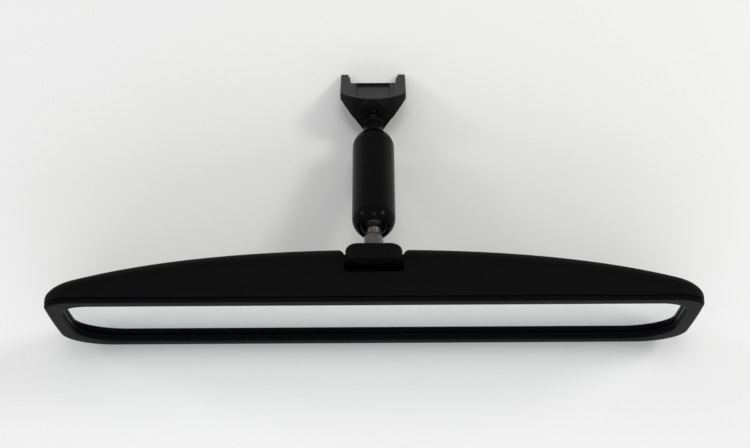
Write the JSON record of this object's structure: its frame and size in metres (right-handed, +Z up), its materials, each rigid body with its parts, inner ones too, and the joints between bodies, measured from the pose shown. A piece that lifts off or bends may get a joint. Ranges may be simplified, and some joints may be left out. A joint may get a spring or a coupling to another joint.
{
  "type": "interior rearview mirror",
  "caption": "Day/night rearview mirror lying turned over: wide prismatic glass in a moulded head with a finger tab, a sprung ball-and-ball arm and a wedge bracket for a windshield button.",
  "frame": {"origin": "centre of the bounding box's base, on the table the mirror lies on", "axes": "+X along the head, to the viewer's right as one faces the glass; +Y from the glass towards the windshield bracket; +Z up from the table. In a car the head hangs the other way up: the edge on the table faces the roof and the finger tab points down"},
  "size_m": [0.254, 0.123, 0.0653],
  "materials": {
    "grained_black": "fine grained matte black moulding",
    "bezel_black": "satin black moulding",
    "mirror_silver": "silvered glass wedge",
    "foam_grey": "soft foam",
    "carrier_black": "glass-filled nylon",
    "galvanised_steel": "galvanised sheet",
    "zinc_plate": "bright zinc plate",
    "spring_steel": "oiled spring steel",
    "stop_rubber": "soft black rubber",
    "liner_grey": "acetal",
    "tube_black": "satin black paint on a drawn steel tube",
    "cast_black": "black coating on a zinc die casting",
    "black_oxide": "black oxide on steel"
  },
  "bodies": {
    "case": {"rear_housing": "grained_black", "front_bezel": "bezel_black", "mirror_glass": "mirror_silver", "glass_backing_pad": "foam_grey", "toggle_base": "galvanised_steel", "base_screw_1": "zinc_plate", "base_screw_2": "zinc_plate", "base_screw_3": "zinc_plate", "base_screw_4": "zinc_plate", "lever_pivot_pin": "zinc_plate", "tilt_pivot_pin": "zinc_plate", "toggle_spring": "spring_steel", "day_stop_left": "stop_rubber", "day_stop_right": "stop_rubber", "night_stop_left": "stop_rubber", "night_stop_right": "stop_rubber"},
    "lever": {"toggle_lever": "grained_black"},
    "carrier": {"stud_carrier": "carrier_black", "head_ball_stud": "zinc_plate", "stud_washer": "zinc_plate", "stud_nut": "zinc_plate"},
    "near_liner": {"near_ball_liner": "liner_grey"},
    "near_cup": {"near_pressure_cup": "liner_grey"},
    "arm": {"arm_tube": "tube_black", "arm_spring": "spring_steel"},
    "far_cup": {"far_pressure_cup": "liner_grey"},
    "far_liner": {"far_ball_liner": "liner_grey"},
    "bracket": {"windshield_bracket": "cast_black", "bracket_ball_stud": "cast_black", "set_screw": "black_oxide"}
  },
  "joints": [
    {"name": "day_night_tilt", "type": "hinge", "parent": "case", "child": "carrier", "pos_m": [0, -0.04426, 0.014], "axis": [1, 0, 0], "range_deg": [-3.1, 0]},
    {"name": "day_night_lever", "type": "hinge", "parent": "case", "child": "lever", "pos_m": [0, -0.04406, 0.0485], "axis": [1, 0, 0], "range_deg": [0, 16]},
    {"name": "near_pitch", "type": "hinge", "parent": "carrier", "child": "near_liner", "pos_m": [0, -0.01826, 0.0327], "axis": [1, 0, 0], "range_deg": [-3.5, 30]},
    {"name": "near_yaw", "type": "hinge", "parent": "near_liner", "child": "near_cup", "pos_m": [0, -0.01826, 0.0327], "axis": [0, 0.4082, 0.9129], "range_deg": [-9, 9]},
    {"name": "near_roll", "type": "hinge", "parent": "near_cup", "child": "arm", "pos_m": [0, -0.01826, 0.0327], "axis": [0, 0.9129, -0.4082], "continuous": true},
    {"name": "far_roll", "type": "hinge", "parent": "arm", "child": "far_cup", "pos_m": [0, 0.01935, 0.01588], "axis": [0, 0.9129, -0.4082], "continuous": true},
    {"name": "far_yaw", "type": "hinge", "parent": "far_cup", "child": "far_liner", "pos_m": [0, 0.01935, 0.01588], "axis": [0, 0.4082, 0.9129], "range_deg": [-13, 13]},
    {"name": "far_pitch", "type": "hinge", "parent": "far_liner", "child": "bracket", "pos_m": [0, 0.01935, 0.01588], "axis": [1, 0, 0], "range_deg": [-14, 14]}
  ],
  "couplings": [
    {"joint": "day_night_lever", "follows": "day_night_tilt", "ratio": -5.1613}
  ]
}
